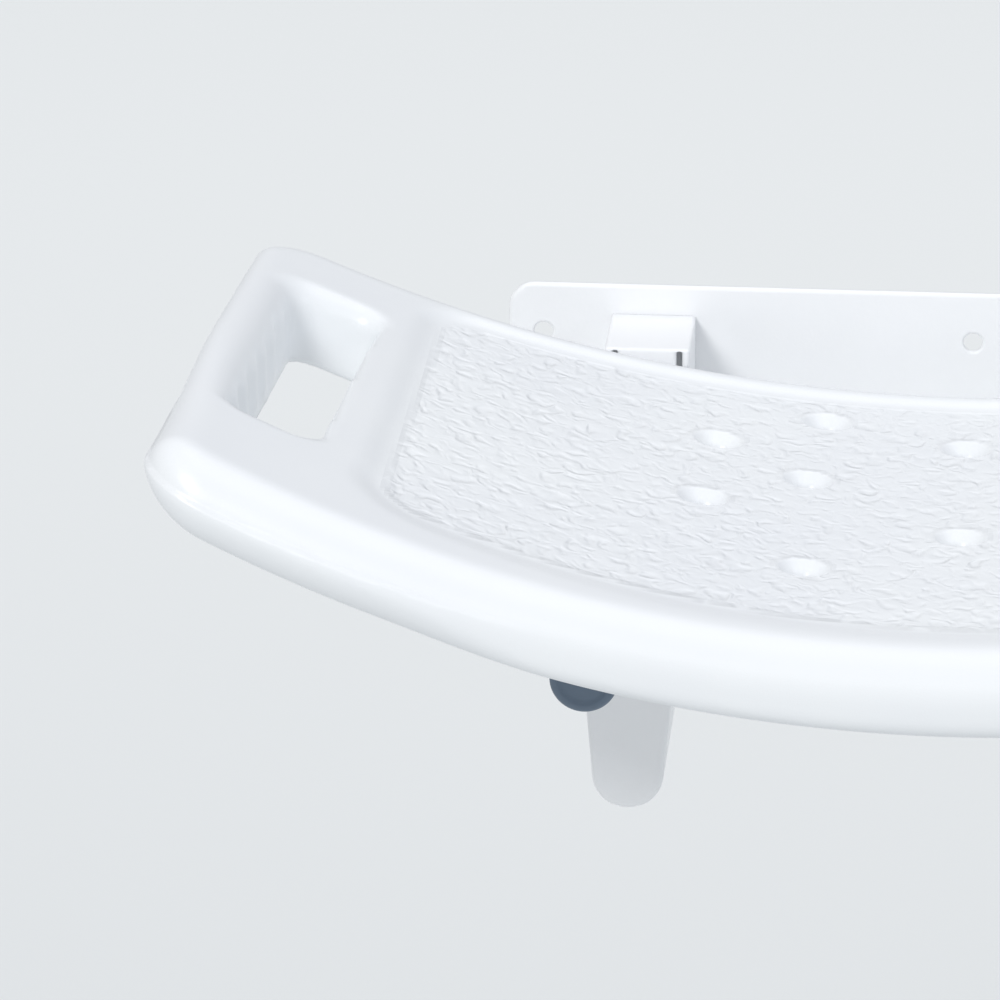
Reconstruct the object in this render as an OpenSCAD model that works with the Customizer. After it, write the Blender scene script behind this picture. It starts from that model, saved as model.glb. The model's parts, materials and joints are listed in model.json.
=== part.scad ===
// Fold-up shower seat on a wall plate.
// Origin: centre of the wall plate's back face. +X along the wall, -Y out from the wall, +Z up.
// The seat is drawn in its folded-down position.

/* [Seat board] */
// Width of the board across its front
seat_w = 511; // [500:1:514]
// How much narrower each end of the rear edge is than the front
end_taper = 15; // [12:1:17]
// Height that the board's ends rise above its middle
seat_rise = 60; // [56:0.5:60.5]
// Thickness of the board
board_t = 26; // [24:0.5:27]
// Top of the board at its middle, above the wall plate's centre
seat_z = 48; // [47.5:0.5:49]
// Gap between the wall and the board's rear edge
rear_gap = 45; // [44.5:0.5:47]
// Depth of the board at its middle
seat_d = 268; // [256:1:276]
// Chamfer of the board's rear top edge, which swings past the hoods
rear_chamfer = 6; // [5:0.5:8]
// How far the front edge bows forward at its middle
front_bow = 25; // [14:1:30]
// Rounding of the rear corners in plan
rear_corner_r = 22; // [12:1:30]
// Rounding of the front corners in plan
front_corner_r = 20; // [16:1:40]

/* [Sitting panel, drains and hand slots] */
// Half width of the recessed sitting panel
panel_half_w = 181; // [160:1:185]
// Width of the smooth rim behind the panel
rear_rim = 15; // [12:1:20]
// Width of the smooth rim in front of the panel
front_rim = 34; // [30:1:44]
// Depth of the panel recess
recess = 2.5; // [1:0.5:4]
// Bore of a drain
drain_d = 8; // [6:0.5:10]
// Mouth of a drain's cup
drain_mouth = 16; // [12:0.5:18]
// Width of a hand slot
slot_w = 30; // [28:1:32]
// Length of a hand slot
slot_l = 140; // [124:2:142]
// Distance of a hand slot's middle from the seat's middle
slot_x = 215; // [214:0.5:216]
// Distance of a hand slot's middle from the wall
slot_y = 158; // [155:1:161]
// Turn of a hand slot in plan, which keeps it along the board's end
slot_turn = 3; // [0:0.5:4]

/* [Wall plate] */
// Width of the wall plate
plate_w = 320; // [310:2:340]
// Height of the wall plate
plate_h = 138; // [134:1:144]
// Thickness of the wall plate
plate_t = 3; // [2.5:0.5:4]
// Rounding of the plate's corners
plate_r = 9; // [4:1:12]
// Diameter of a wall screw hole
wall_hole_d = 6.6; // [5.5:0.1:8.5]
// Distance between the outer columns of wall screw holes
wall_hole_dx = 296; // [290:2:300]
// Distance between the two rows of wall screw holes
wall_hole_dz = 103; // [95:1:110]

/* [Brackets] */
// Distance of a bracket's middle from the seat's middle
bracket_x = 110; // [109:0.5:112]
// Outer width of a bracket
bracket_w = 29; // [28.5:0.5:31]
// Sheet thickness of a bracket
sheet_t = 2.5; // [2:0.25:3]
// Top of a bracket's hood
hood_z = 59; // [58:0.5:60]
// Depth of a bracket's hood, from the wall
hood_y = 42; // [39:1:42]
// Front of a bracket, from the wall
bracket_y = 131; // [128:1:134]
// Lowest point of a bracket
bracket_low = 74.5; // [72:0.5:80]

/* [Hinge] */
// Distance of the hinge axis from the wall
pin_y = 97; // [96.5:0.5:98]
// Height of the hinge axis above the plate's centre
pin_z = 18; // [17.5:0.25:18.5]
// Diameter of the hinge pin
pin_d = 10; // [8:0.5:10]
// Diametral running clearance between pin and bush
pin_fit = 0.1; // [0.04:0.02:0.16]

/* [Arms] */
// Angle by which each arm spreads outwards towards the front
arm_splay = 2.4; // [0:0.2:2.6]
// Outer diameter of an arm tube
arm_d = 20; // [18:0.5:20]
// Wall thickness of an arm tube
arm_wall = 2; // [1.5:0.5:2.5]
// How far an arm reaches behind the hinge axis
arm_tail = 24; // [22:1:26]
// Front end of an arm tube, from the wall
arm_front = 254; // [246:1:256]
// Middle of a rear saddle, from the wall
saddle_rear = 150; // [144:1:156]
// Middle of a front saddle, from the wall
saddle_front = 215; // [208:1:222]

/* [Hidden] */
$fn = 48;

left = -1;
right = 1;
// Gap between parts of different bodies
gap = 0.3;
// How far a cutting shape runs past what it cuts
over = 20;
saddle_ys = [saddle_rear, saddle_front];
half_w = seat_w / 2;
rear_y = -rear_gap;
front_y = -rear_gap - seat_d;
// The board is a band of a large cylinder lying along Y
saddle_r = (half_w * half_w + seat_rise * seat_rise) / (2 * seat_rise);
saddle_axis_z = seat_z + saddle_r;
bow_r = (half_w * half_w + front_bow * front_bow) / (2 * front_bow);
panel_bow_r = 700;
panel_corner_r = 16;
panel_taper = 6;
drain_cup_h = 5;
slot_corner_r = 9;
bracket_in = bracket_w - 2 * sheet_t;
// Below this depth a bracket's sides lean in towards its round bottom
lean_z = 35;
low_r = 12;
hood_relief = 2;
boss_r = 9.5;
// The board's rear strip turns inside this radius round the hinge axis
sweep_r = 65.2;
upright_y = pin_y - boss_r;
web_top = 3;
// Top of a bracket's front edge, and where the slope down to it leaves the boss
lip_z = 4;
lip_lean = 32;
sleeve_d = 14;
bush_d = 12;
bush_l = bracket_in - 2 * gap;
pin_head_d = 16;
pin_head_t = 4;
washer_t = 1.5;
washer_d = 18;
clip_t = 1.2;
clip_d = 15;
clip_slot = 4;
groove_d = 8.5;
// Length of a pin or bolt past its clip or nut
pin_end = 2;
stop_r = 5;
stop_pin_d = 6;
stop_y = pin_y + arm_d / 2 + stop_r + gap;
stop_z = pin_z - 17;
stop_head_d = 11;
stop_head_t = 3;
nut_flats = 10;
nut_t = 5;
pad_l = 7.5;
pad_drop = 8;
plug_d = arm_d + 2;
plug_rim = 2.4;
plug_face = 1.2;
plug_in = 14;
tail_plug_t = 2;
tail_plug_in = 8;
saddle_w = 34;
saddle_l = 26;
screw_d = 6;
screw_hole_d = 6.4;
screw_head_d = 10;
screw_head_t = 3.2;
socket_d = 4.6;
socket_h = 2;
screw_washer_d = 12;
insert_d = 8.4;
insert_l = 12;
bar_t = 4;
bar_w = 24;
bar_over = 12;
screw_in = 10;

function unit(v) = v / norm(v);
function saddle_z(x, depth = 0) = saddle_axis_z - sqrt((saddle_r + depth) ^ 2 - x * x);
function bow_y(x, r, y) = y + r - sqrt(r * r - x * x);
// Distance of an arm's axis from the seat's middle, at a distance y from the wall
function arm_x(y) = bracket_x + (y - pin_y) * tan(arm_splay);
// Arc of n steps that rounds the corner p between a and b with radius r
function fillet(a, p, b, r, n = 6) =
    let (u = unit(a - p), v = unit(b - p), half = acos(u * v) / 2,
        c = p + unit(u + v) * r / sin(half),
        s = p + u * r / tan(half) - c, e = p + v * r / tan(half) - c,
        a0 = atan2(s.y, s.x), turn = atan2(s.x * e.y - s.y * e.x, s * e))
    [for (i = [0 : n]) c + r * [cos(a0 + turn * i / n), sin(a0 + turn * i / n)]];
function mirrored(pts) = concat(pts, [for (i = [len(pts) - 1 : -1 : 0]) [-pts[i].x, pts[i].y]]);

front_x = half_w - front_corner_r * 1.6;
board_half = concat(
    [for (i = [0 : 6]) [front_x * i / 6, bow_y(front_x * i / 6, bow_r, front_y)]],
    fillet([front_x, bow_y(front_x, bow_r, front_y)], [half_w, bow_y(half_w, bow_r, front_y)],
        [half_w - end_taper, rear_y], front_corner_r),
    fillet([half_w, bow_y(half_w, bow_r, front_y)], [half_w - end_taper, rear_y], [0, rear_y],
        rear_corner_r));
panel_y = front_y + front_rim;
panel_x = panel_half_w - 40;
panel_rear = rear_y - rear_rim;
panel_corner = [panel_half_w + panel_taper / 2, bow_y(panel_half_w, panel_bow_r, panel_y)];
panel_back = [panel_half_w - panel_taper / 2, panel_rear];
panel_half = concat(
    [for (i = [0 : 5]) [panel_x * i / 5, bow_y(panel_x * i / 5, panel_bow_r, panel_y)]],
    fillet([panel_x, bow_y(panel_x, panel_bow_r, panel_y)], panel_corner, panel_back, panel_corner_r),
    fillet(panel_corner, panel_back, [0, panel_rear], panel_corner_r));
// Drains of one half: distance from the seat's middle, distance from the wall
drain_half = [[0, 99], [0, 188], [47, 80], [51, 141], [82, 113], [84, 172], [49, 227]];
drains = [for (side = [left, right], p = drain_half) if (side == right || p.x > 0) [side * p.x, -p.y]];

// Cylinder along X from x0 to x1 at y = -away, z = up
module across(x0, x1, away, up, d) {
    translate([x0, -away, up]) rotate([0, 90, 0]) cylinder(h = x1 - x0, d = d);
}

// Cylinder, or cone, along an arm's axis between two distances from the wall
module along_arm(side, away0, away1, d, end_d) {
    translate([side * bracket_x, -pin_y, pin_z]) rotate([0, 0, side * arm_splay]) rotate([90, 0, 0])
        translate([0, 0, away0 - pin_y])
            cylinder(h = away1 - away0, d1 = d, d2 = is_undef(end_d) ? d : end_d);
}

// Everything above the saddle surface that lies a given depth below the seat's top
module above_saddle(depth) {
    translate([0, 0, saddle_axis_z]) rotate([90, 0, 0])
        cylinder(h = rear_gap + seat_d + over, r = saddle_r + depth, $fn = 360);
}

module hand_slot(x) {
    cx = slot_w / 2 - slot_corner_r;
    cy = slot_l / 2 - slot_corner_r;
    translate([x, -slot_y, 0]) rotate([0, 0, sign(x) * slot_turn]) linear_extrude(seat_z + seat_rise + over) {
        square([slot_w, 2 * cy], center = true);
        square([2 * cx, slot_l], center = true);
        for (i = [-1, 1], j = [-1, 1]) translate([i * cx, j * cy]) circle(r = slot_corner_r);
    }
}

module seat_board() {
    color("white") difference() {
        intersection() {
            translate([0, 0, seat_z - board_t - over]) linear_extrude(seat_rise + board_t + 2 * over)
                polygon(mirrored(board_half));
            above_saddle(board_t);
        }
        above_saddle(0);
        translate([0, rear_y + over, saddle_axis_z]) rotate([90, 0, 0])
            cylinder(h = rear_chamfer + over, r1 = saddle_r + rear_chamfer + over, r2 = saddle_r, $fn = 360);
        intersection() {
            above_saddle(recess);
            linear_extrude(seat_z + seat_rise + over) polygon(mirrored(panel_half));
        }
        for (p = drains) translate([p.x, p.y, saddle_z(p.x, recess) - drain_cup_h]) {
            translate([0, 0, -board_t - over]) cylinder(h = board_t + 2 * over, d = drain_d);
            cylinder(h = drain_cup_h, d1 = drain_d, d2 = drain_mouth);
            translate([0, 0, drain_cup_h]) cylinder(h = over, d = drain_mouth);
        }
        for (side = [left, right]) hand_slot(side * slot_x);
        for (side = [left, right], y = saddle_ys)
            translate([side * arm_x(y), -y, saddle_z(arm_x(y), board_t) - over])
                cylinder(h = insert_l + over, d = insert_d);
    }
}

module wall_plate() {
    cx = plate_w / 2 - plate_r;
    cz = plate_h / 2 - plate_r;
    color("whitesmoke") rotate([90, 0, 0]) linear_extrude(plate_t) difference() {
        union() {
            square([plate_w, 2 * cz], center = true);
            square([2 * cx, plate_h], center = true);
            for (i = [-1, 1], j = [-1, 1]) translate([i * cx, j * cz]) circle(r = plate_r);
        }
        for (i = [-1, 0, 1], j = [-1, 1])
            translate([i * wall_hole_dx / 2, j * wall_hole_dz / 2]) circle(d = wall_hole_d);
    }
}

// Trough section of a bracket, inset by a sheet thickness or none: sides that lean in below, round bottom
module trough(inset, up, y0, y1) {
    r = low_r - inset;
    x = bracket_w / 2 - inset;
    centre_z = low_r - bracket_low;
    rise = -lean_z - centre_z;
    a = atan2(rise, x) - acos(r / norm([x, rise]));
    bottom = [for (i = [0 : 16]) let (t = a - (180 + 2 * a) * i / 16) [r * cos(t), centre_z + r * sin(t)]];
    translate([0, -y0, 0]) rotate([90, 0, 0]) linear_extrude(y1 - y0)
        polygon(concat([[-x, -lean_z], [-x, up], [x, up], [x, -lean_z]], bottom));
}

// Side outline of a bracket, drawn as distance from the wall against height
module bracket_side() {
    difference() {
        translate([plate_t, -bracket_low]) square([bracket_y - plate_t, bracket_low + hood_z]);
        translate([hood_y, pin_z]) square([bracket_y, hood_z]);
        intersection() {
            translate([pin_y, pin_z]) circle(r = sweep_r);
            translate([0, -bracket_low]) square([upright_y, bracket_low + hood_z]);
        }
        translate([pin_y, -web_top]) square([bracket_y, pin_z + web_top]);
    }
    translate([pin_y, pin_z]) circle(r = boss_r);
    polygon([[upright_y, -web_top], [upright_y, pin_z], [pin_y, pin_z + boss_r],
        [pin_y + boss_r * sin(lip_lean), pin_z + boss_r * cos(lip_lean)],
        [bracket_y, lip_z], [bracket_y, -web_top]]);
}

module bracket(side) {
    deep = 2 * bracket_w;
    color("whitesmoke") translate([side * bracket_x, 0, 0]) difference() {
        intersection() {
            trough(0, hood_z, plate_t, bracket_y);
            rotate([90, 0, -90]) translate([0, 0, -deep / 2]) linear_extrude(deep) bracket_side();
        }
        trough(sheet_t, hood_z - sheet_t, plate_t, hood_y - sheet_t);
        trough(sheet_t, pin_z + over, plate_t, bracket_y - sheet_t);
        for (i = [-1, 1]) translate([i * (bracket_in - hood_relief) / 2, -hood_y, hood_z - over - 1])
            cube([hood_relief, 2 * sheet_t, 2 * over], center = true);
        translate([-bracket_in / 2, -bracket_y - over / 2, -web_top]) cube([bracket_in, over, 2 * over]);
        across(-deep / 2, deep / 2, pin_y, pin_z, pin_d);
        across(-deep / 2, deep / 2, stop_y, stop_z, stop_pin_d);
    }
}
module bracket_left() { bracket(left); }
module bracket_right() { bracket(right); }

// Headed pin: the head is outside, and a groove takes the clip on the inner side
module hinge_pin(side) {
    out = bracket_w / 2 + washer_t;
    color("silver") translate([side * bracket_x, 0, 0]) mirror([side < 0 ? 1 : 0, 0, 0])
        difference() {
            union() {
                across(-out - clip_t - pin_end, out, pin_y, pin_z, pin_d);
                across(out, out + pin_head_t, pin_y, pin_z, pin_head_d);
            }
            difference() {
                across(-out - clip_t, -out, pin_y, pin_z, pin_head_d);
                across(-out - 2 * clip_t, -out + clip_t, pin_y, pin_z, groove_d);
            }
        }
}
module hinge_pin_left() { hinge_pin(left); }
module hinge_pin_right() { hinge_pin(right); }

module hinge_washers() {
    color("silver") for (side = [left, right], end = [-1, 1])
        translate([side * bracket_x + end * (bracket_w + washer_t) / 2, 0, 0]) difference() {
            across(-washer_t / 2, washer_t / 2, pin_y, pin_z, washer_d);
            across(-washer_t, washer_t, pin_y, pin_z, pin_d);
        }
}

module hinge_clips() {
    color("dimgray") for (side = [left, right])
        translate([side * (bracket_x - bracket_w / 2 - washer_t - clip_t / 2), 0, 0])
            difference() {
                across(-clip_t / 2, clip_t / 2, pin_y, pin_z, clip_d);
                across(-clip_t, clip_t, pin_y, pin_z, groove_d);
                translate([0, -pin_y, pin_z - clip_d / 2])
                    cube([2 * clip_t, clip_slot, clip_d], center = true);
            }
}

// Set bolt across the channel, with a button head outside and a nut on the inner side
module stop_pin(side) {
    out = bracket_w / 2;
    color("silver") translate([side * bracket_x, 0, 0]) mirror([side < 0 ? 1 : 0, 0, 0]) {
        across(-out - nut_t - pin_end, out, stop_y, stop_z, stop_pin_d);
        across(out, out + stop_head_t, stop_y, stop_z, stop_head_d);
    }
}
module stop_pin_left() { stop_pin(left); }
module stop_pin_right() { stop_pin(right); }

module stop_sleeve(side) {
    color("dimgray") translate([side * bracket_x, 0, 0]) difference() {
        across(-bush_l / 2, bush_l / 2, stop_y, stop_z, 2 * stop_r);
        across(-bush_l, bush_l, stop_y, stop_z, stop_pin_d);
    }
}
module stop_sleeve_left() { stop_sleeve(left); }
module stop_sleeve_right() { stop_sleeve(right); }

module stop_nuts() {
    color("silver") for (side = [left, right])
        translate([side * (bracket_x - (bracket_w + nut_t) / 2), -stop_y, stop_z])
            rotate([0, 90, 0]) difference() {
                cylinder(h = nut_t, d = nut_flats / cos(30), $fn = 6, center = true);
                cylinder(h = 2 * nut_t, d = stop_pin_d, center = true);
            }
}

// Rubber block in the front of the channel that the lowered arm rests on
module rest_pad(side) {
    low = -web_top - pad_drop;
    color("dimgray") translate([side * bracket_x - bracket_in / 2 + gap, -bracket_y + sheet_t, low])
        cube([bracket_in - 2 * gap, pad_l, pin_z - arm_d / 2 - gap - low]);
}
module rest_pad_left() { rest_pad(left); }
module rest_pad_right() { rest_pad(right); }

module arm_tube(side) {
    color("whitesmoke") difference() {
        along_arm(side, pin_y - arm_tail, arm_front, arm_d);
        along_arm(side, pin_y - arm_tail - over, arm_front + over, arm_d - 2 * arm_wall);
        across(side * bracket_x - arm_d, side * bracket_x + arm_d, pin_y, pin_z, sleeve_d);
        for (y = saddle_ys) translate([side * arm_x(y), -y, pin_z - arm_d])
            cylinder(h = 2 * arm_d, d = screw_hole_d);
    }
}
module arm_tube_left() { arm_tube(left); }
module arm_tube_right() { arm_tube(right); }

module front_plug(side) {
    color("slategray") {
        along_arm(side, arm_front, arm_front + plug_rim, plug_d);
        along_arm(side, arm_front + plug_rim, arm_front + plug_rim + plug_face, plug_d, plug_d - 3);
        along_arm(side, arm_front - plug_in, arm_front, arm_d - 2 * arm_wall);
    }
}
module front_plug_left() { front_plug(left); }
module front_plug_right() { front_plug(right); }

module tail_plug(side) {
    end = pin_y - arm_tail;
    color("slategray") {
        along_arm(side, end - tail_plug_t, end, arm_d);
        along_arm(side, end, end + tail_plug_in, arm_d - 2 * arm_wall);
    }
}
module tail_plug_left() { tail_plug(left); }
module tail_plug_right() { tail_plug(right); }

module hinge_sleeve(side) {
    color("silver") translate([side * bracket_x, 0, 0]) difference() {
        across(-bush_l / 2, bush_l / 2, pin_y, pin_z, sleeve_d);
        across(-bush_l, bush_l, pin_y, pin_z, bush_d);
    }
}
module hinge_sleeve_left() { hinge_sleeve(left); }
module hinge_sleeve_right() { hinge_sleeve(right); }

module hinge_bush(side) {
    color("ivory") translate([side * bracket_x, 0, 0]) difference() {
        across(-bush_l / 2, bush_l / 2, pin_y, pin_z, bush_d);
        across(-bush_l, bush_l, pin_y, pin_z, pin_d + pin_fit);
    }
}
module hinge_bush_left() { hinge_bush(left); }
module hinge_bush_right() { hinge_bush(right); }

// Moulded spacer between an arm and the underside of the board
module saddle(side, away) {
    x = side * arm_x(away);
    color("gainsboro") difference() {
        translate([x - saddle_w / 2, -away - saddle_l / 2, pin_z]) cube([saddle_w, saddle_l, 2 * over]);
        above_saddle(board_t);
        along_arm(side, away - saddle_l, away + saddle_l, arm_d);
        translate([x, -away, pin_z]) cylinder(h = 2 * over, d = screw_hole_d);
    }
}
module saddle_left_rear() { saddle(left, saddle_ys[0]); }
module saddle_left_front() { saddle(left, saddle_ys[1]); }
module saddle_right_rear() { saddle(right, saddle_ys[0]); }
module saddle_right_front() { saddle(right, saddle_ys[1]); }

// Flat steel strip under both arms, held by the front pair of arm screws
module tie_bar() {
    reach = arm_x(saddle_front) + bar_over;
    color("whitesmoke") difference() {
        translate([-reach, -saddle_front - bar_w / 2, pin_z - arm_d / 2 - bar_t])
            cube([2 * reach, bar_w, bar_t]);
        for (side = [left, right])
            translate([side * arm_x(saddle_front), -saddle_front, pin_z - arm_d / 2 - over])
                cylinder(h = 2 * over, d = screw_hole_d);
    }
}

// Underside of what a screw's washer bears on: the tube at the rear, the tie bar in front
function seat_of_screw(i) = pin_z - arm_d / 2 - (i == 1 ? bar_t : 0);

module arm_screws() {
    color("silver") for (side = [left, right], i = [0, 1]) {
        x = arm_x(saddle_ys[i]);
        shank = saddle_z(x, board_t) + screw_in - seat_of_screw(i) + washer_t;
        translate([side * x, -saddle_ys[i], seat_of_screw(i) - washer_t]) {
            cylinder(h = shank, d = screw_d);
            difference() {
                translate([0, 0, -screw_head_t]) cylinder(h = screw_head_t, d = screw_head_d);
                translate([0, 0, -screw_head_t - 1]) cylinder(h = socket_h + 1, d = socket_d, $fn = 6);
            }
        }
    }
}

module screw_washers() {
    color("silver") for (side = [left, right], i = [0, 1])
        translate([side * arm_x(saddle_ys[i]), -saddle_ys[i], seat_of_screw(i) - washer_t]) difference() {
            cylinder(h = washer_t, d = screw_washer_d);
            translate([0, 0, -washer_t]) cylinder(h = 3 * washer_t, d = screw_hole_d);
        }
}

module board_inserts() {
    color("goldenrod") for (side = [left, right], y = saddle_ys) {
        low = saddle_z(arm_x(y), board_t);
        translate([side * arm_x(y), -y, 0]) difference() {
            translate([0, 0, low + 1]) cylinder(h = insert_l - 1, d = insert_d);
            translate([0, 0, low]) cylinder(h = insert_l + 1, d = screw_d);
        }
    }
}

wall_plate();
bracket_left();
bracket_right();
hinge_pin_left();
hinge_pin_right();
hinge_washers();
hinge_clips();
stop_pin_left();
stop_pin_right();
stop_sleeve_left();
stop_sleeve_right();
stop_nuts();
rest_pad_left();
rest_pad_right();
seat_board();
arm_tube_left();
arm_tube_right();
front_plug_left();
front_plug_right();
tail_plug_left();
tail_plug_right();
hinge_sleeve_left();
hinge_sleeve_right();
hinge_bush_left();
hinge_bush_right();
saddle_left_rear();
saddle_left_front();
saddle_right_rear();
saddle_right_front();
tie_bar();
arm_screws();
screw_washers();
board_inserts();
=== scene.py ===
"""Fold-up shower seat: detailed pieces, materials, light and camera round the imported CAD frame."""
import json
import math

import bpy
import numpy as np
from mathutils import Matrix, Vector


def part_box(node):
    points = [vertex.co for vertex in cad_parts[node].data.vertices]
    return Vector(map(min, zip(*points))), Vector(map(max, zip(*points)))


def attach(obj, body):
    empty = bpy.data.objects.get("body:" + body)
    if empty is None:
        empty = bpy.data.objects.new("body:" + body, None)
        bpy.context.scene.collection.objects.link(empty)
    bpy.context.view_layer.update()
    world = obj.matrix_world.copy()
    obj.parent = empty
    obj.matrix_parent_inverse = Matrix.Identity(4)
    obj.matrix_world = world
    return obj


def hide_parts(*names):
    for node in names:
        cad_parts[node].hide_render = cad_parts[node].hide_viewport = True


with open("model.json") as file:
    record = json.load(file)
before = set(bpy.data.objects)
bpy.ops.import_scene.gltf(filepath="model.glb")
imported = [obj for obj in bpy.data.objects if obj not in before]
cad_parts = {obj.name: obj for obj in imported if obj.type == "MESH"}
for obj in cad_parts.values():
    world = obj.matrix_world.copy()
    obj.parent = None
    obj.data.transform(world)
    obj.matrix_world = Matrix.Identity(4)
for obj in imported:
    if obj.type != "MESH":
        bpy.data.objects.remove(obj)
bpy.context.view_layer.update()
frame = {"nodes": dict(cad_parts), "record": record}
MM = 0.001
nodes = frame["nodes"]

# ---------------------------------------------------------------- sizes, in millimetres
board_lo, board_hi = (np.array(c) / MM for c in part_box("seat_board"))
plate_lo, plate_hi = (np.array(c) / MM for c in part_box("wall_plate"))
bracket_lo, bracket_hi = (np.array(c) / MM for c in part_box("bracket_right"))
pin_lo, pin_hi = (np.array(c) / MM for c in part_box("hinge_pin_right"))

BOARD_T = 26.0
HALF_W = 255.5
RISE = 60.0
END_TAPER = 15.0
SADDLE_R = (HALF_W**2 + RISE**2) / (2 * RISE)
SEAT_Z = board_lo[2] + BOARD_T
SADDLE_Z = SEAT_Z + SADDLE_R
FRONT_Y, REAR_Y = board_lo[1], board_hi[1]
FRONT_BOW = 25.0
BOW_R = (HALF_W**2 + FRONT_BOW**2) / (2 * FRONT_BOW)
FRONT_CORNER_R, REAR_CORNER_R = 20.0, 22.0
FRONT_ROUND, REAR_ROUND, UNDER_ROUND, END_UNDER_ROUND = 17.0, 9.0, 6.0, 14.0
CREASE_DEPTH, CREASE_DROP, CREASE_DROP_X = 10.5, 1.5, 170.0
LEDGE, LEDGE_STEP = 1.1, 0.8
SEAM_START, SEAM_BLEND = 120.0, 60.0
ROUND_START_Y, ROUND_BLEND = -150.0, 110.0
SLOT_X, SLOT_Y, SLOT_W, SLOT_L, SLOT_R = 215.0, -158.0, 30.0, 140.0, 9.0
SLOT_TURN = math.radians(3)
SLOT_TIGHT_ROUND, SLOT_SOFT_ROUND, SLOT_UNDER_ROUND = 2.5, 7.5, 2.5
RIDGE, RIDGE_PITCH, RIDGE_HALF_L, RIDGE_END = 0.9, 19, 50, 8
PANEL_HALF_W, PANEL_REAR, PANEL_FRONT, PANEL_BOW_R = 181.0, REAR_Y - 15.0, FRONT_Y + 34.0, 700.0
PANEL_TAPER, PANEL_FRONT_R, PANEL_REAR_R = 6.0, 18.0, 14.0
RECESS, RECESS_LOSS = 2.5, 0.6
SLOPE, SLOPE_GAIN = 9, 6
SHALLOW_START_Y, SHALLOW_BLEND = -220, 50
WRINKLE, BEAD, BEAD_INSET, BEAD_W = 0.36, 0.5, 2, 1.8
FINE_X, FINE_Y = (-186, 186), (-274, -58)
DRAINS = [(0, -99), (0, -188), (47, -80), (51, -141), (82, -113), (84, -172), (49, -227)]
DRAIN_BORE, DRAIN_MOUTH, DRAIN_CUP = 8.0, 16.0, 5.0
DRAIN_TOP_ROUND, DRAIN_UNDER_ROUND = 1.2, 1.0

PLATE_R, HOLE_R, PLATE_EDGE_R = 9.0, 3.3, 0.8
HOLES_X, HOLES_Z = (-148.0, 0.0, 148.0), (-51.5, 51.5)
BRACKET_X = (bracket_lo[0] + bracket_hi[0]) / 2
BRACKET_HALF = (bracket_hi[0] - bracket_lo[0]) / 2
SHEET, SHEET_EDGE_R, NOSE_EDGE_GAIN = 2.5, 0.9, 1.3
LEAN_Z, LOW_R = 35.0, 12.0
HOOD_Y, BOSS_R, SWEEP_R, WEB_Z, LIP_Z = -42.0, 9.5, 65.2, -3.0, 4.0
PIN_Y, PIN_Z = (pin_lo[1] + pin_hi[1]) / 2, (pin_lo[2] + pin_hi[2]) / 2
ARM_SPLAY = math.radians(2.4)

# Stage, in metres
FLOOR_HALF, FLOOR_Z = 30.0, -0.46


# ---------------------------------------------------------------- signed distances, in millimetres
def meet(a, b, r):
    """Intersection of two solids given by distances, with the edge rounded to radius r."""
    return np.minimum(np.maximum(a, b), -r) + np.hypot(np.maximum(a + r, 0), np.maximum(b + r, 0))


def smooth(t):
    """Smooth step: 0 up to t = 0, 1 from t = 1."""
    t = np.clip(t, 0.0, 1.0)
    return t * t * (3 - 2 * t)


def plan_shape(x, y, half_w, taper, front, rear, bow_r, front_r, rear_r):
    """A board outline in plan: bowed front edge, straight rear, ends that taper towards the rear."""
    x = np.abs(x)
    bowed = np.hypot(x, y - (front + bow_r)) - bow_r
    length = rear - front
    lean = math.hypot(taper, length)
    side = ((x - half_w) * length + (y - front) * taper) / lean
    return meet(meet(bowed, side, front_r), y - rear, rear_r)


def round_box(x, y, half_x, half_y, r):
    """Signed distance to a rectangle about the origin with corners of radius r."""
    dx, dy = np.abs(x) - half_x + r, np.abs(y) - half_y + r
    return np.hypot(np.maximum(dx, 0), np.maximum(dy, 0)) + np.minimum(np.maximum(dx, dy), 0) - r


def panel_distance(x, y):
    """Signed distance, in plan, to the outline of the recessed panel."""
    return plan_shape(x, y, PANEL_HALF_W + PANEL_TAPER / 2, PANEL_TAPER, PANEL_FRONT, PANEL_REAR,
                      PANEL_BOW_R, PANEL_FRONT_R, PANEL_REAR_R)


def slot_place(x, y):
    """Position across and along the hand slot on the side where x is; x is taken without its sign."""
    dx, dy = x - SLOT_X, y - SLOT_Y
    across = dx * math.cos(SLOT_TURN) + dy * math.sin(SLOT_TURN)
    along = dy * math.cos(SLOT_TURN) - dx * math.sin(SLOT_TURN)
    return across, along


def finger_ridges(sx, sy, w):
    """How far the slot's outer wall waves in and out, fading at its top, underside and both ends."""
    ridges = RIDGE * np.cos(sy * 2 * np.pi / RIDGE_PITCH) * smooth((sx - 2) / 8)
    ridges = ridges * smooth((w - 2) / 6) * smooth((BOARD_T - 2 - w) / 8)
    return ridges * (1 - smooth((np.abs(sy) - RIDGE_HALF_L) / RIDGE_END))


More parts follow.
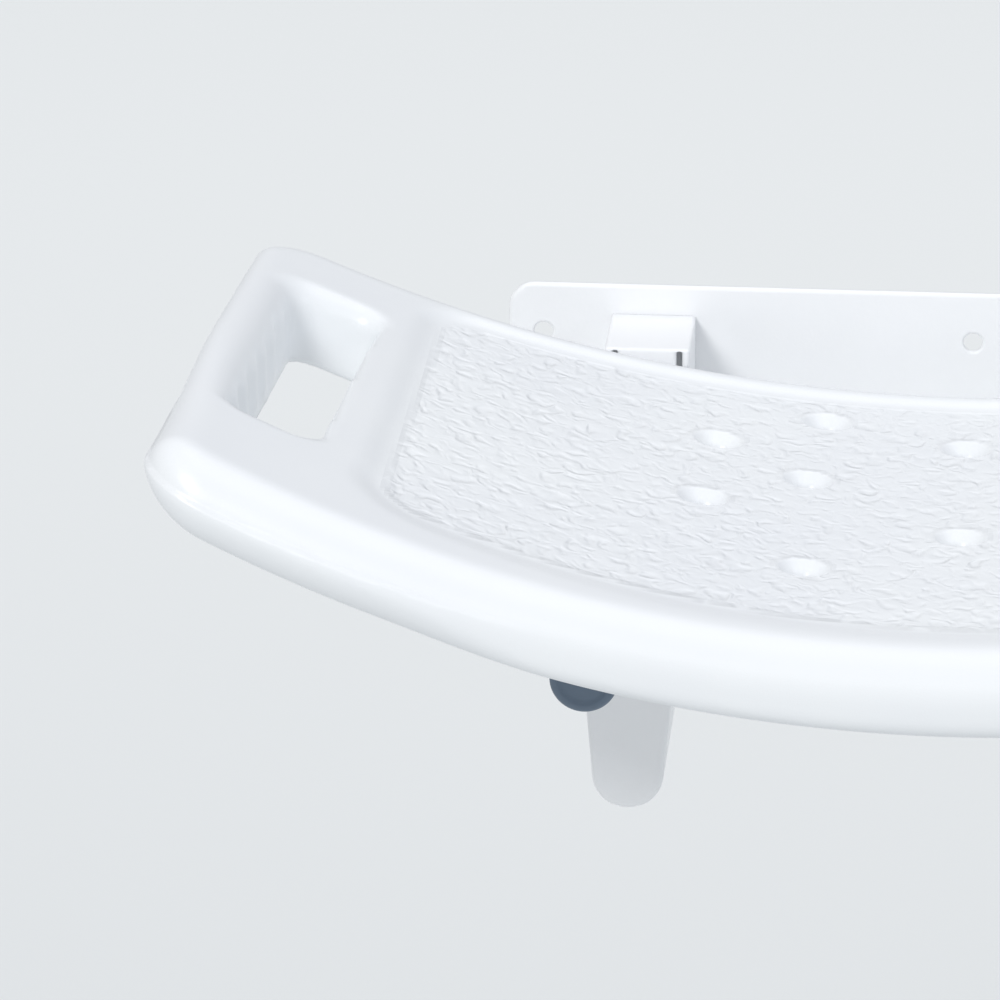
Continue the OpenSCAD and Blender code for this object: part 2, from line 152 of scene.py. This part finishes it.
def board_distance(u, y, w):
    """Signed distance to the board at arc position u, depth w under the seat's top surface."""
    x = (SADDLE_R + w) * np.sin(u / SADDLE_R)
    ax = np.abs(x)
    # The edge stands out under a crease, which runs round the front corners only.
    edge = plan_shape(x, y, HALF_W, END_TAPER, FRONT_Y, REAR_Y, BOW_R, FRONT_CORNER_R, REAR_CORNER_R)
    seam = smooth((ax - SEAM_START) / SEAM_BLEND) * smooth((-SEAM_START - y) / SEAM_BLEND)
    crease = CREASE_DEPTH + CREASE_DROP * smooth((ax - CREASE_DROP_X) / SEAM_BLEND)
    edge = edge - LEDGE * seam * smooth((w - crease) / LEDGE_STEP)
    # The recess is shallower, and its slope wider, towards the front.
    shallow = smooth((SHALLOW_START_Y - y) / SHALLOW_BLEND)
    depth = RECESS - RECESS_LOSS * shallow
    top = depth * (1 - smooth(panel_distance(x, y) / (SLOPE + SLOPE_GAIN * shallow))) - w
    under = w - BOARD_T
    top_round = REAR_ROUND + (FRONT_ROUND - REAR_ROUND) * smooth((ROUND_START_Y - y) / ROUND_BLEND)
    under_round = UNDER_ROUND + (END_UNDER_ROUND - UNDER_ROUND) * seam
    solid = np.maximum(meet(top, edge, top_round), meet(under, edge, under_round))
    # The slot's lip is tight at its inner front corner and soft at its outer rear one.
    sx, sy = slot_place(ax, y)
    slot = -round_box(sx, sy, SLOT_W / 2, SLOT_L / 2, SLOT_R) + finger_ridges(sx, sy, w)
    soft_side = smooth((sx + 12) / 20 + (sy - 10) / 70)
    slot_round = SLOT_TIGHT_ROUND + (SLOT_SOFT_ROUND - SLOT_TIGHT_ROUND) * soft_side
    solid = np.maximum(solid, meet(top, slot, slot_round))
    solid = np.maximum(solid, meet(under, slot, SLOT_UNDER_ROUND))
    # Each drain is a bore under a cup that widens to its mouth.
    spread = (DRAIN_MOUTH - DRAIN_BORE) / 2 * smooth(1 - (w - RECESS) / DRAIN_CUP)
    for dx, dy in DRAINS:
        drain = DRAIN_BORE / 2 + spread - np.hypot(ax - dx, y - dy)
        lip = np.maximum(meet(top, drain, DRAIN_TOP_ROUND), meet(under, drain, DRAIN_UNDER_ROUND))
        solid = np.maximum(solid, lip)
    return solid


def board_place(p):
    """Points (u, y, w) in the row frame, in metres."""
    r = SADDLE_R + p[:, 2]
    a = p[:, 0] / SADDLE_R
    return np.stack([r * np.sin(a), p[:, 1], SADDLE_Z - r * np.cos(a)], axis=1) * MM


def spaced(*stretches):
    """Grid lines: (start, end, step) stretches joined end to end."""
    out = []
    for a, b, step in stretches:
        n = max(1, round((b - a) / step))
        out.append(np.linspace(a, b, n, endpoint=False))
    out.append([stretches[-1][1]])
    return np.concatenate(out)


def surface(distance, gx, gy, gz, steps=4):
    """Quads on the zero surface of distance over a grid, its points then drawn onto it exactly."""
    field = distance(gx[:, None, None], gy[None, :, None], gz[None, None, :])
    inside = field < 0
    grids = (gx, gy, gz)
    shape = tuple(n - 1 for n in field.shape)
    total, count = np.zeros(shape + (3,)), np.zeros(shape)
    crossings = []
    for axis in range(3):
        lower = [slice(None)] * 3
        upper = [slice(None)] * 3
        lower[axis], upper[axis] = slice(0, -1), slice(1, None)
        f0, f1 = field[tuple(lower)], field[tuple(upper)]
        cross = inside[tuple(lower)] != inside[tuple(upper)]
        i = np.argwhere(cross)
        t = (f0 / (f0 - f1 + (f0 == f1)))[cross]
        point = np.stack([grids[k][i[:, k]] for k in range(3)], axis=1)
        point[:, axis] += t * (grids[axis][i[:, axis] + 1] - grids[axis][i[:, axis]])
        b, c = [k for k in range(3) if k != axis]
        corners = []
        for db in (-1, 0):
            for dc in (-1, 0):
                cell = i.copy()
                cell[:, b] += db
                cell[:, c] += dc
                ok = np.all((cell >= 0) & (cell < shape), axis=1)
                at = tuple(cell[ok].T)
                np.add.at(total, at, point[ok])
                np.add.at(count, at, 1)
                corners.append((cell, ok))
        crossings.append((axis, corners, inside[tuple(lower)][cross]))
    used = count > 0
    index = np.full(shape, -1)
    index[used] = np.arange(used.sum())
    points = total[used] / count[used][:, None]
    quads = []
    for axis, corners, first_in in crossings:
        ok = np.all([o for _, o in corners], axis=0)
        a, b, c, d = (index[tuple(cell[ok].T)] for cell, _ in corners)
        quad = np.stack([a, b, d, c], axis=1)
        flip = first_in[ok] if axis == 1 else ~first_in[ok]
        quad[flip] = quad[flip][:, ::-1]
        quads.append(quad)
    quads = np.concatenate(quads)
    h = 0.02
    for _ in range(steps):
        f = distance(*points.T)
        grad = np.stack([distance(*(points + h * e).T) - f for e in np.eye(3)], axis=1) / h
        size = np.maximum(np.sum(grad * grad, axis=1), 0.2)
        move = grad * (f / size)[:, None]
        limit = 0.8 / np.maximum(np.linalg.norm(move, axis=1), 0.8)
        points = points - move * limit[:, None]
    return points, quads


def make_object(name, points, faces):
    mesh = bpy.data.meshes.new(name)
    mesh.from_pydata([tuple(p) for p in points.tolist()], [], [tuple(f) for f in faces.tolist()])
    mesh.validate()
    mesh.shade_smooth()
    obj = bpy.data.objects.new(name, mesh)
    bpy.context.scene.collection.objects.link(obj)
    return obj


# ---------------------------------------------------------------- materials
def principled(name):
    mat = bpy.data.materials.new(name)
    mat.use_nodes = True
    return mat, mat.node_tree, mat.node_tree.nodes["Principled BSDF"]


def add(tree, kind, **values):
    """A new node of this kind, with the given attributes."""
    node = tree.nodes.new(kind)
    for key, value in values.items():
        setattr(node, key, value)
    return node


def noise(tree, scale, detail=3.0, rough=0.5):
    place = tree.nodes.get("Place") or add(tree, "ShaderNodeTexCoord", name="Place")
    n = add(tree, "ShaderNodeTexNoise")
    n.inputs["Scale"].default_value = scale
    n.inputs["Detail"].default_value = detail
    n.inputs["Roughness"].default_value = rough
    tree.links.new(place.outputs["Object"], n.inputs["Vector"])
    return n


def ramp(tree, source, stops):
    r = add(tree, "ShaderNodeValToRGB")
    while len(r.color_ramp.elements) < len(stops):
        r.color_ramp.elements.new(0.5)
    for e, (at, colour) in zip(r.color_ramp.elements, stops):
        e.position = at
        e.color = (*colour, 1)
    tree.links.new(source, r.inputs["Fac"])
    return r


def span(tree, source, low, high):
    m = add(tree, "ShaderNodeMapRange")
    m.inputs["To Min"].default_value = low
    m.inputs["To Max"].default_value = high
    tree.links.new(source, m.inputs["Value"])
    return m


def bump(tree, height, distance, below=None):
    b = add(tree, "ShaderNodeBump")
    b.inputs["Strength"].default_value = 1.0
    b.inputs["Distance"].default_value = distance
    tree.links.new(height, b.inputs["Height"])
    if below is not None:
        tree.links.new(below, b.inputs["Normal"])
    return b


def shade(c, k):
    """Colour c made k times as bright."""
    return tuple(v * k for v in c)


def coated(name, colour, rough, grain_scale, grain, mottled=0.03):
    """Moulded or painted surface: mottled colour, uneven gloss and a fine grain."""
    mat, tree, bsdf = principled(name)
    large = noise(tree, 14, 4)
    tint = ramp(tree, large.outputs["Fac"], [(0.35, shade(colour, 1 - mottled)), (0.65, colour)])
    tree.links.new(tint.outputs["Color"], bsdf.inputs["Base Color"])
    patch = noise(tree, 60, 5, 0.6)
    gloss = span(tree, patch.outputs["Fac"], rough * 0.8, rough * 1.2)
    tree.links.new(gloss.outputs["Result"], bsdf.inputs["Roughness"])
    peel = noise(tree, grain_scale, 2)
    b = bump(tree, peel.outputs["Fac"], grain)
    tree.links.new(b.outputs["Normal"], bsdf.inputs["Normal"])
    return mat


BLACK, WHITE = (0, 0, 0), (1, 1, 1)
BOARD_DARK, BOARD_LIGHT = (0.85, 0.87, 0.895), (0.885, 0.905, 0.915)
PANEL_DULLER = 0.14
WRINKLE_SCALE, WRINKLE_BUMP, GRAIN_BUMP = (150, 125, 150), 0.0011, 0.00003


def board_material():
    """White moulded plastic: satin rim, and a wrinkled grain where the panel mask is set."""
    mat, tree, bsdf = principled("board_white")
    mask = add(tree, "ShaderNodeAttribute", attribute_name="panel")
    large = noise(tree, 9, 4)
    tint = ramp(tree, large.outputs["Fac"], [(0.3, BOARD_DARK), (0.7, BOARD_LIGHT)])
    tree.links.new(tint.outputs["Color"], bsdf.inputs["Base Color"])
    patch = noise(tree, 80, 4, 0.6)
    gloss = span(tree, patch.outputs["Fac"], 0.26, 0.38)
    dull = add(tree, "ShaderNodeMath", operation="MULTIPLY_ADD")
    tree.links.new(mask.outputs["Fac"], dull.inputs[0])
    dull.inputs[1].default_value = PANEL_DULLER
    tree.links.new(gloss.outputs["Result"], dull.inputs[2])
    tree.links.new(dull.outputs["Value"], bsdf.inputs["Roughness"])
    place = tree.nodes["Place"]
    stretch = add(tree, "ShaderNodeMapping")
    stretch.inputs["Scale"].default_value = WRINKLE_SCALE
    tree.links.new(place.outputs["Object"], stretch.inputs["Vector"])
    wrinkle = add(tree, "ShaderNodeTexNoise")
    wrinkle.inputs["Scale"].default_value = 1.0
    wrinkle.inputs["Detail"].default_value = 1.2
    wrinkle.inputs["Distortion"].default_value = 0.4
    tree.links.new(stretch.outputs["Vector"], wrinkle.inputs["Vector"])
    ridge = ramp(tree, wrinkle.outputs["Fac"], [(0.26, BLACK), (0.48, WHITE), (0.72, BLACK)])
    ridge.color_ramp.interpolation = "B_SPLINE"
    masked = add(tree, "ShaderNodeMath", operation="MULTIPLY")
    tree.links.new(ridge.outputs["Color"], masked.inputs[0])
    tree.links.new(mask.outputs["Fac"], masked.inputs[1])
    coarse = bump(tree, masked.outputs["Value"], WRINKLE_BUMP)
    fine = noise(tree, 1500, 2)
    b = bump(tree, fine.outputs["Fac"], GRAIN_BUMP, below=coarse.outputs["Normal"])
    tree.links.new(b.outputs["Normal"], bsdf.inputs["Normal"])
    return mat


BRUSH_SCALE, BRUSH_BUMP = (40, 900, 900), 0.00004


def brushed(name, colour, rough):
    """Bare metal with fine lines along X."""
    mat, tree, bsdf = principled(name)
    place = add(tree, "ShaderNodeTexCoord", name="Place")
    stretch = add(tree, "ShaderNodeMapping")
    stretch.inputs["Scale"].default_value = BRUSH_SCALE
    tree.links.new(place.outputs["Object"], stretch.inputs["Vector"])
    lines = add(tree, "ShaderNodeTexNoise")
    lines.inputs["Scale"].default_value = 1.0
    lines.inputs["Detail"].default_value = 4.0
    tree.links.new(stretch.outputs["Vector"], lines.inputs["Vector"])
    tint = ramp(tree, lines.outputs["Fac"], [(0.3, shade(colour, 0.85)), (0.7, colour)])
    tree.links.new(tint.outputs["Color"], bsdf.inputs["Base Color"])
    gloss = span(tree, lines.outputs["Fac"], rough * 0.7, rough * 1.3)
    tree.links.new(gloss.outputs["Result"], bsdf.inputs["Roughness"])
    b = bump(tree, lines.outputs["Fac"], BRUSH_BUMP)
    tree.links.new(b.outputs["Normal"], bsdf.inputs["Normal"])
    bsdf.inputs["Metallic"].default_value = 1.0
    return mat


BOARD = board_material()
POWDER = coated("powder_coat_white", (0.945, 0.955, 0.97), 0.34, 900, 0.00006)
PLUG = coated("plug_grey", (0.14, 0.19, 0.255), 0.42, 1400, 0.00003, mottled=0.1)
RUBBER = coated("rubber_grey", (0.05, 0.055, 0.06), 0.75, 1100, 0.00006, mottled=0.15)
NYLON = coated("nylon_natural", (0.78, 0.76, 0.68), 0.45, 1200, 0.00003)
SPACER = coated("spacer_white", (0.78, 0.80, 0.82), 0.5, 1000, 0.00004)
STEEL = brushed("steel_bright", (0.62, 0.63, 0.65), 0.3)
BRASS = brushed("brass_machined", (0.75, 0.58, 0.28), 0.32)

MATERIAL_OF_SLOT = {
    "white_board": BOARD, "white_powder_coat": POWDER, "grey_plug": PLUG, "grey_rubber": RUBBER,
    "nylon": NYLON, "white_spacer": SPACER, "bright_steel": STEEL, "brass": BRASS,
}
for part in frame["record"]["subparts"]:
    mesh = nodes[part["node"]].data
    mesh.materials.clear()
    mesh.materials.append(MATERIAL_OF_SLOT[part["material_slot"]])


# ---------------------------------------------------------------- seat board
LATTICE = 256


def value_noise(x, y, cell, seed):
    """Smooth noise from 0 to 1 on a lattice of the given cell size."""
    rng = np.random.default_rng(seed)
    table = rng.random((LATTICE, LATTICE))
    gx, gy = x / cell, y / cell
    ix, iy = np.floor(gx).astype(int), np.floor(gy).astype(int)
    fx, fy = smooth(gx - ix), smooth(gy - iy)

    def pick(a, b):
        return table[(ix + a) % LATTICE, (iy + b) % LATTICE]

    low = pick(0, 0) * (1 - fx) + pick(1, 0) * fx
    high = pick(0, 1) * (1 - fx) + pick(1, 1) * fx
    return low * (1 - fy) + high * fy


def wrinkles(u, y):
    """Height, from 0 to 1, of the panel's leather-like wrinkles."""
    wx = u + 4 * value_noise(u, y, 14, 1)
    wy = 1.3 * y + 4 * value_noise(u, y, 14, 2)
    worms = 0.5 + 0.5 * np.cos(2 * np.pi * value_noise(wx, wy, 9, 3))
    pebble = value_noise(wx, wy, 5, 4)
    return 0.6 * worms + 0.4 * pebble


def make_board():
    """The whole board: fine enough for the wrinkles over the panel, and finer in depth round the crease."""
    coarse, dense = ((2.5, 1.75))
    reach = SADDLE_R * math.asin(HALF_W / SADDLE_R) + 6
    crease_lo, crease_hi = CREASE_DEPTH - 1.5, CREASE_DEPTH + 3.7
    gu = spaced((-reach, FINE_X[0], coarse), (*FINE_X, dense), (FINE_X[1], reach, coarse))
    gy = spaced((FRONT_Y - 3, FINE_Y[0], coarse), (*FINE_Y, dense), (FINE_Y[1], REAR_Y + 3, coarse))
    gw = spaced((-2.3, crease_lo, 1.8), (crease_lo, crease_hi, 0.8), (crease_hi, BOARD_T + 2.3, 1.8))
    points, quads = surface(board_distance, gu, gy, gw)
    x = (SADDLE_R + points[:, 2]) * np.sin(points[:, 0] / SADDLE_R)
    from_edge = panel_distance(x, points[:, 1])
    on_top = 1 - smooth((points[:, 2] - RECESS - 0.3) / 0.6)
    mask = (1 - smooth((from_edge + 3) / 3)) * on_top
    for dx, dy in DRAINS:
        from_drain = np.hypot(np.abs(x) - dx, points[:, 1] - dy) - DRAIN_MOUTH / 2
        mask = mask * smooth((from_drain - 0.5) / 2)
    bead = np.exp(-((from_edge + BEAD_INSET) / BEAD_W)**2) * smooth((-200 - points[:, 1]) / 40)
    relief = WRINKLE * mask * (0.5 - wrinkles(points[:, 0], points[:, 1]))
    points[:, 2] += relief - BEAD * bead * on_top
    obj = make_object("seat_shell", board_place(points), quads[:, ::-1])
    attribute = obj.data.attributes.new("panel", "FLOAT", "POINT")
    attribute.data.foreach_set("value", mask.astype(np.float32))
    obj.data.materials.append(BOARD)
    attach(obj, "folding_seat")
    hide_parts("seat_board")


make_board()


# ---------------------------------------------------------------- wall plate and brackets
def outline_distance(corners, a, b):
    """Signed distance to a closed outline, given as corners, at the points (a, b)."""
    corners = np.array(corners, float)
    a, b = np.broadcast_arrays(a, b)
    near = np.full(a.shape, 1e9)
    inside = np.zeros(a.shape, bool)
    for (x0, y0), (x1, y1) in zip(corners, np.roll(corners, -1, axis=0)):
        ex, ey = x1 - x0, y1 - y0
        t = np.clip(((a - x0) * ex + (b - y0) * ey) / (ex * ex + ey * ey), 0, 1)
        near = np.minimum(near, np.hypot(a - x0 - t * ex, b - y0 - t * ey))
        if y0 != y1:
            crosses = (b >= min(y0, y1)) & (b < max(y0, y1)) & (a < x0 + (b - y0) * ex / ey)
            inside ^= crosses
    return np.where(inside, -near, near)


def arc(cx, cy, r, start, end, n):
    """Points on a circle from one angle to another, in degrees."""
    return [(cx + r * math.cos(math.radians(t)), cy + r * math.sin(math.radians(t)))
            for t in np.linspace(start, end, n + 1)]


def trough_outline(inset, up):
    """Cross-section of a bracket: upright sides that lean in below, and a round bottom."""
    r, x = LOW_R - inset, BRACKET_HALF - inset
    cz = bracket_lo[2] + LOW_R
    rise = -LEAN_Z - cz
    a = math.degrees(math.atan2(rise, x) - math.acos(r / math.hypot(x, rise)))
    return [(-x, -LEAN_Z), (-x, up), (x, up), (x, -LEAN_Z)] + arc(0, cz, r, a, -180 - a, 20)


def side_outline():
    """Side view of a bracket as (y, z): hood at the wall, notch for the board, upright for the pin."""
    front, back, low, top = bracket_lo[1], bracket_hi[1], bracket_lo[2], bracket_hi[2]
    hood_end = math.degrees(math.asin((HOOD_Y - PIN_Y) / SWEEP_R))
    foot = math.degrees(math.asin(BOSS_R / SWEEP_R))
    notch = [(y, z) for z, y in arc(PIN_Z, PIN_Y, SWEEP_R, hood_end, 180 - foot, 40)]
    boss = arc(PIN_Y, PIN_Z, BOSS_R, 0, 122, 12)
    return [(HOOD_Y, top)] + notch + boss + [(front, LIP_Z), (front, low), (back, low), (back, top)]


OUTER = trough_outline(0, bracket_hi[2])
INNER = trough_outline(SHEET, bracket_hi[2] + 20)
SIDE = side_outline()


def bracket_distance(x, y, z):
    """Signed distance to a folded sheet trough about x = 0, with its edges rounded."""
    low_front = smooth((bracket_lo[1] + 12 - y) / 6) * smooth((-24 - z) / 8)
    front_round = SHEET_EDGE_R + NOSE_EDGE_GAIN * low_front
    body = meet(outline_distance(OUTER, x, z), outline_distance(SIDE, y, z), front_round)
    # It is open inside, behind the hood's front flap and behind the web under the pin.
    inner = outline_distance(INNER, x, z)
    behind_flap = np.maximum(z - bracket_hi[2] + SHEET, HOOD_Y + SHEET - y)
    behind_web = np.maximum(z - PIN_Z - 20, bracket_lo[1] + SHEET - y)
    cavity = np.maximum(inner, np.minimum(behind_flap, behind_web))
    # Only the side sheets stand above the web, and a slit parts the flap from each of them.
    side_gap = np.abs(x) - BRACKET_HALF + SHEET
    mouth = np.maximum(np.maximum(side_gap, WEB_Z - z), y - bracket_lo[1] - 6)
    relief = np.maximum(np.maximum(np.abs(side_gap + 1) - 1, z - bracket_hi[2] + 1.2),
                        np.maximum(np.abs(y - HOOD_Y) - 5, PIN_Z - z))
    hollow = np.minimum(cavity, np.minimum(mouth, relief))
    return meet(body, -hollow, SHEET_EDGE_R)


def make_bracket(name, node, x):
    step = 1.05
    margin = 1.3
    gx = spaced((-BRACKET_HALF - margin, BRACKET_HALF + margin, 0.95))
    gy = spaced((bracket_lo[1] - margin, bracket_hi[1] + margin, step))
    gz = spaced((bracket_lo[2] - margin, bracket_hi[2] + margin, step))
    points, quads = surface(bracket_distance, gx, gy, gz, steps=3)
    obj = make_object(name, (points + (x, 0, 0)) * MM, quads)
    obj.data.materials.append(POWDER)
    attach(obj, "wall_frame")
    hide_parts(node)


def plate_distance(x, y, z):
    """Signed distance to the wall plate with its six through holes."""
    half = (plate_hi - plate_lo) / 2
    edge = round_box(x, z, half[0], half[2], PLATE_R)
    for hx in HOLES_X:
        for hz in HOLES_Z:
            edge = np.maximum(edge, HOLE_R - np.hypot(x - hx, z - hz))
    return meet(edge, np.abs(y + half[1]) - half[1], PLATE_EDGE_R)


def make_plate():
    def lines(low, high, centres, around=6, coarse=2.6, fine=0.6):
        """Grid lines that are fine around the holes only."""
        out, at = [], low
        for c in centres:
            out += [(at, c - around, coarse), (c - around, c + around, fine)]
            at = c + around
        return spaced(*out, (at, high, coarse))

    gx = lines(plate_lo[0] - 1, plate_hi[0] + 1, HOLES_X)
    gz = lines(plate_lo[2] - 1, plate_hi[2] + 1, HOLES_Z)
    gy = spaced((plate_lo[1] - 0.6, plate_hi[1] + 0.6, 0.6))
    points, quads = surface(plate_distance, gx, gy, gz, steps=3)
    obj = make_object("plate_shell", points * MM, quads)
    obj.data.materials.append(POWDER)
    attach(obj, "wall_frame")
    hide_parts("wall_plate")


make_plate()
make_bracket("bracket_shell_left", "bracket_left", -BRACKET_X)
make_bracket("bracket_shell_right", "bracket_right", BRACKET_X)


# ---------------------------------------------------------------- arm plugs
FACE, SKIRT, SPIGOT = 3.6, 3, 14
PLUG_SIDES = 96


def make_plug(name, node, side):
    """Capped tube plug, turned from a profile of (radius, distance along the arm)."""
    low, high = (np.array(c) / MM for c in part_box(node))
    r = (high[2] - low[2]) / 2
    inner = r - SKIRT
    profile = [(0, FACE - 0.8), (r - 4.2, FACE - 0.8), (r - 3.4, FACE - 0.7), (r - 2.9, FACE - 0.3),
               (r - 2.5, FACE - 0.05), (r - 2.0, FACE), (r - 1.2, FACE - 0.15), (r - 0.5, FACE - 0.6),
               (r - 0.1, FACE - 1.2), (r, FACE - 1.9), (r, 0.4), (r - 0.3, 0), (inner, 0),
               (inner, -SPIGOT + 0.6), (inner - 0.6, -SPIGOT), (0, -SPIGOT)]
    n = PLUG_SIDES
    out = np.array([side * math.sin(ARM_SPLAY), -math.cos(ARM_SPLAY), 0])
    across = np.array([math.cos(ARM_SPLAY), side * math.sin(ARM_SPLAY), 0])
    above = np.array([0, 0, 1])
    reach = PIN_Y - low[1]
    tip = np.array([side * (BRACKET_X + reach * math.tan(ARM_SPLAY)), low[1] + 0.5, (low[2] + high[2]) / 2])
    base = tip - out * FACE
    t = np.arange(n) * 2 * math.pi / n
    round_arm = np.cos(t)[:, None] * across + np.sin(t)[:, None] * above
    rings = [base + out * along + radius * round_arm for radius, along in profile]
    points = np.concatenate(rings) * MM
    i = np.arange(n)
    j = (i + 1) % n
    faces = np.concatenate([np.stack([k * n + i, k * n + j, (k + 1) * n + j, (k + 1) * n + i], axis=1)
                            for k in range(len(profile) - 1)])
    obj = make_object(name, points, faces)
    obj.data.materials.append(PLUG)
    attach(obj, "folding_seat")
    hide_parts(node)


make_plug("plug_cap_left", "front_plug_left", -1)
make_plug("plug_cap_right", "front_plug_right", 1)


# ---------------------------------------------------------------- soft edges on the small CAD parts
MOULDED = ("saddle", "rest_pad")
TURNED = ("stop_", "hinge_washers", "hinge_pin", "arm_screws", "screw_washers")
EVENLY_SHADED = ("tie_bar", "arm_tube", "hinge_sleeve", "saddle")
for name in [n for n in nodes if n.startswith(MOULDED + TURNED)]:
    weld = nodes[name].modifiers.new("weld", "WELD")
    weld.merge_threshold = 0.00001
    edge = nodes[name].modifiers.new("soft_edges", "BEVEL")
    edge.width = 0.0008 if name.startswith(MOULDED) else 0.0004
    edge.segments = 2
    edge.limit_method = "ANGLE"
    edge.angle_limit = math.radians(35)
    edge.harden_normals = True
for name in [n for n in nodes if n.startswith(EVENLY_SHADED)]:
    even = nodes[name].modifiers.new("even_shading", "WEIGHTED_NORMAL")
    even.keep_sharp = True


# ---------------------------------------------------------------- camera
SENSOR = 36


def aim_camera(place, yaw, pitch, roll, focal):
    """A camera turned by yaw from +Y, pitched down, then rolled. focal is in image widths."""
    level = math.cos(pitch)
    forward = Vector((math.sin(yaw) * level, math.cos(yaw) * level, -math.sin(pitch)))
    right = Vector((math.cos(yaw), -math.sin(yaw), 0))
    up = right.cross(forward)
    r2 = right * math.cos(roll) + up * math.sin(roll)
    u2 = up * math.cos(roll) - right * math.sin(roll)
    data = bpy.data.cameras.new("camera")
    data.sensor_width = SENSOR
    data.lens = SENSOR * focal
    data.clip_end = 50
    cam = bpy.data.objects.new("camera", data)
    bpy.context.scene.collection.objects.link(cam)
    turn = Matrix((r2, u2, -forward)).transposed()
    cam.matrix_world = Matrix.Translation(place) @ turn.to_4x4()
    bpy.context.scene.camera = cam


aim_camera(place=Vector((0.0346, -2.5643, 0.8765)), yaw=math.radians(-4.41), pitch=math.radians(19.05),
           roll=math.radians(0.22), focal=7.809)


# ---------------------------------------------------------------- floor and light
def make_floor():
    """A plain floor that gives off a little light, so that it stays pale from every side."""
    r = FLOOR_HALF
    mesh = bpy.data.meshes.new("floor")
    mesh.from_pydata([(-r, -r, 0), (r, -r, 0), (r, r, 0), (-r, r, 0)], [], [(0, 1, 2, 3)])
    floor = bpy.data.objects.new("floor", mesh)
    floor.location = (0, 0, FLOOR_Z)
    bpy.context.scene.collection.objects.link(floor)
    mat, _, bsdf = principled("floor_pale")
    bsdf.inputs["Base Color"].default_value = (0.37, 0.38, 0.385, 1)
    bsdf.inputs["Emission Color"].default_value = (0.95, 0.985, 1.0, 1)
    bsdf.inputs["Emission Strength"].default_value = 0.365
    bsdf.inputs["Roughness"].default_value = 0.8
    floor.data.materials.append(mat)


def soft_light(name, place, target, size, power, colour=WHITE, spread=180):
    data = bpy.data.lights.new(name, "AREA")
    data.shape = "RECTANGLE"
    data.size, data.size_y = size
    data.energy = power
    data.color = colour
    data.spread = math.radians(spread)
    light = bpy.data.objects.new(name, data)
    light.location = place
    light.rotation_euler = (Vector(target) - Vector(place)).to_track_quat("-Z", "Y").to_euler()
    bpy.context.scene.collection.objects.link(light)


make_floor()
middle = (0, -0.15, 0.04)
soft_light("key", (-1.1, -2.1, 1.7), middle, (0.8, 0.7), 35)
soft_light("side", (2.0, -1.2, 0.9), middle, (1.4, 0.9), 6, (0.86, 0.93, 1.0))
soft_light("top", (0.6, 0.2, 2.1), middle, (2.2, 1.6), 12, (0.92, 0.93, 1.0))
soft_light("floor_wash", (0.0, 2.2, 1.6), (0, 2.2, FLOOR_Z), (4.4, 3.0), 24, spread=100)
world = bpy.data.worlds.new("studio")
world.use_nodes = True
background = world.node_tree.nodes["Background"]
background.inputs["Color"].default_value = (0.95, 0.97, 1.0, 1)
background.inputs["Strength"].default_value = 0.50
bpy.context.scene.world = world
bpy.context.scene.view_settings.view_transform = "Standard"
